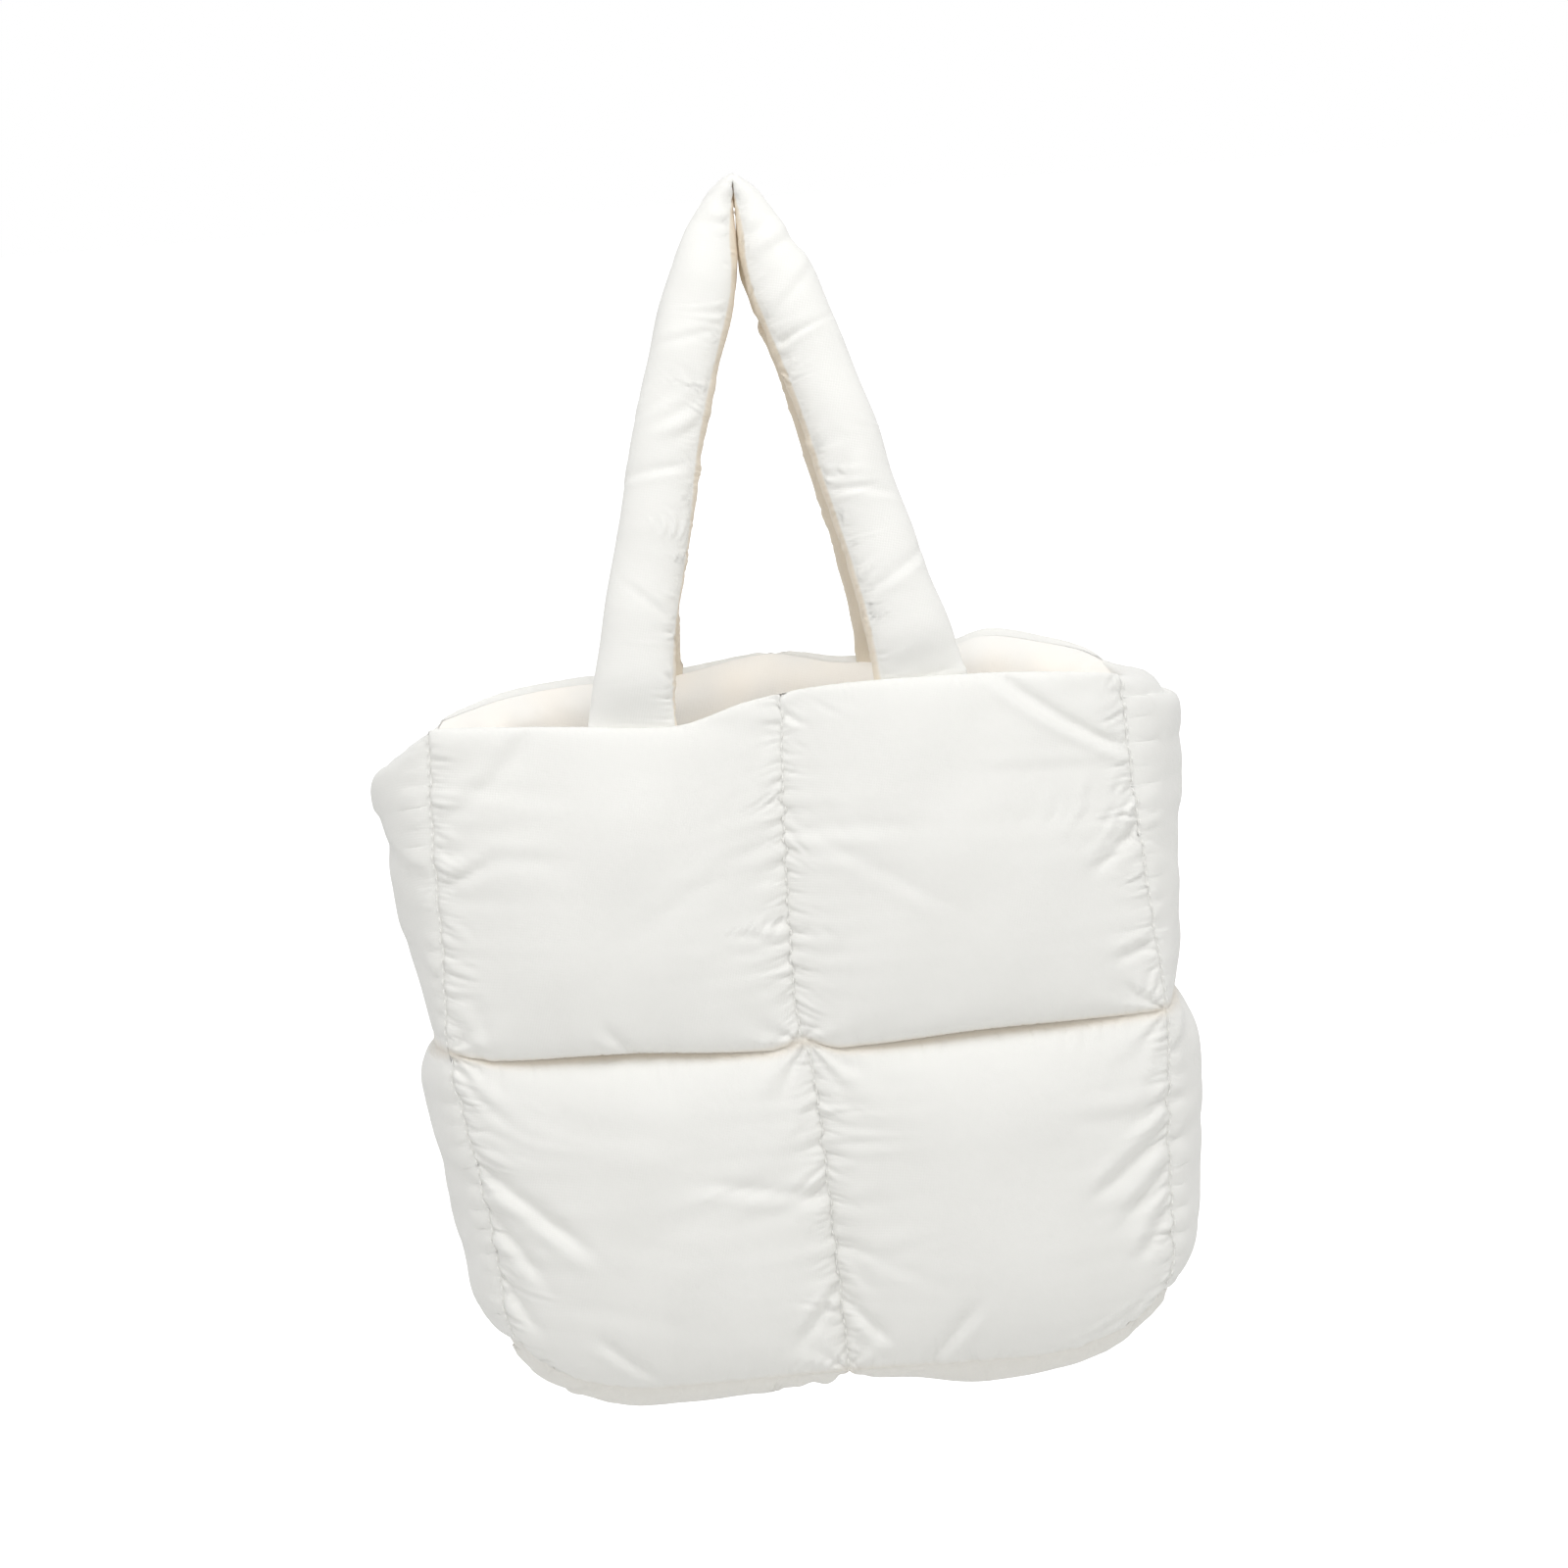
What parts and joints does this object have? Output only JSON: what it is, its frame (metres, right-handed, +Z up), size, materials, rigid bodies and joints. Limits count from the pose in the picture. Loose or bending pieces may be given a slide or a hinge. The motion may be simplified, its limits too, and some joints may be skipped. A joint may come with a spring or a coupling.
{
  "type": "puffer tote bag",
  "caption": "Quilted padded tote bag with an open top, side gussets, a rounded base and tall padded handles, held in its hanging form.",
  "frame": {"origin": "the hanging point, under the fold where both handles are gathered over a hook", "axes": "+Z up along the hang, +X to the right of the front, -Y the way the front panel faces"},
  "size_m": [0.4044, 0.1524, 0.6131],
  "materials": {
    "shell_cloth": "off-white matte nylon, softly sheened, puckered at its seams",
    "lining_cloth": "cream lining cloth, matte",
    "handle_cloth": "off-white matte nylon, gathered along a seam"
  },
  "bodies": {
    "root": {"front_panel": "shell_cloth", "back_panel": "shell_cloth", "left_gusset": "shell_cloth", "right_gusset": "shell_cloth", "base_panel": "shell_cloth", "lining": "lining_cloth", "front_handle": "handle_cloth", "back_handle": "handle_cloth"}
  },
  "joints": []
}
